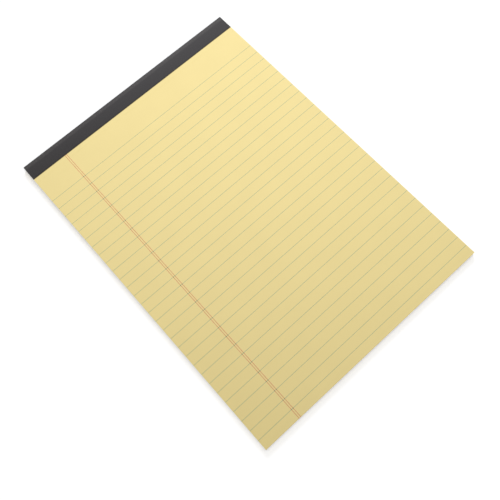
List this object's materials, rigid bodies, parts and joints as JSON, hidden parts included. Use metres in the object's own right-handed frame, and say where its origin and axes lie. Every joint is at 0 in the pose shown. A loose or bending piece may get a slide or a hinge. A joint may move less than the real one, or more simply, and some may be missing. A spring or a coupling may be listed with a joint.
{
  "type": "notepad",
  "caption": "Letter-size writing pad of yellow ruled sheets with a double red margin line, a greyboard back and a dark tape folded over its bound end.",
  "frame": {"origin": "middle of the pad's outline, on the surface that the pad lies on", "axes": "+X across the sheets to the reader's right, +Y towards the bound end, +Z out of the top sheet"},
  "size_m": [0.216, 0.2986, 0.0057],
  "materials": {
    "yellow_paper": "matte",
    "greyboard": "matte",
    "binding_tape": "matte",
    "blue_ink": "matte",
    "red_ink": "matte",
    "stitching_wire": "satin"
  },
  "bodies": {
    "root": {"page_block": "yellow_paper", "backing_board": "greyboard", "binding_tape": "binding_tape", "blue_rules": "blue_ink", "margin_rules": "red_ink", "staple_1": "stitching_wire", "staple_2": "stitching_wire", "staple_3": "stitching_wire", "staple_4": "stitching_wire"}
  },
  "joints": []
}
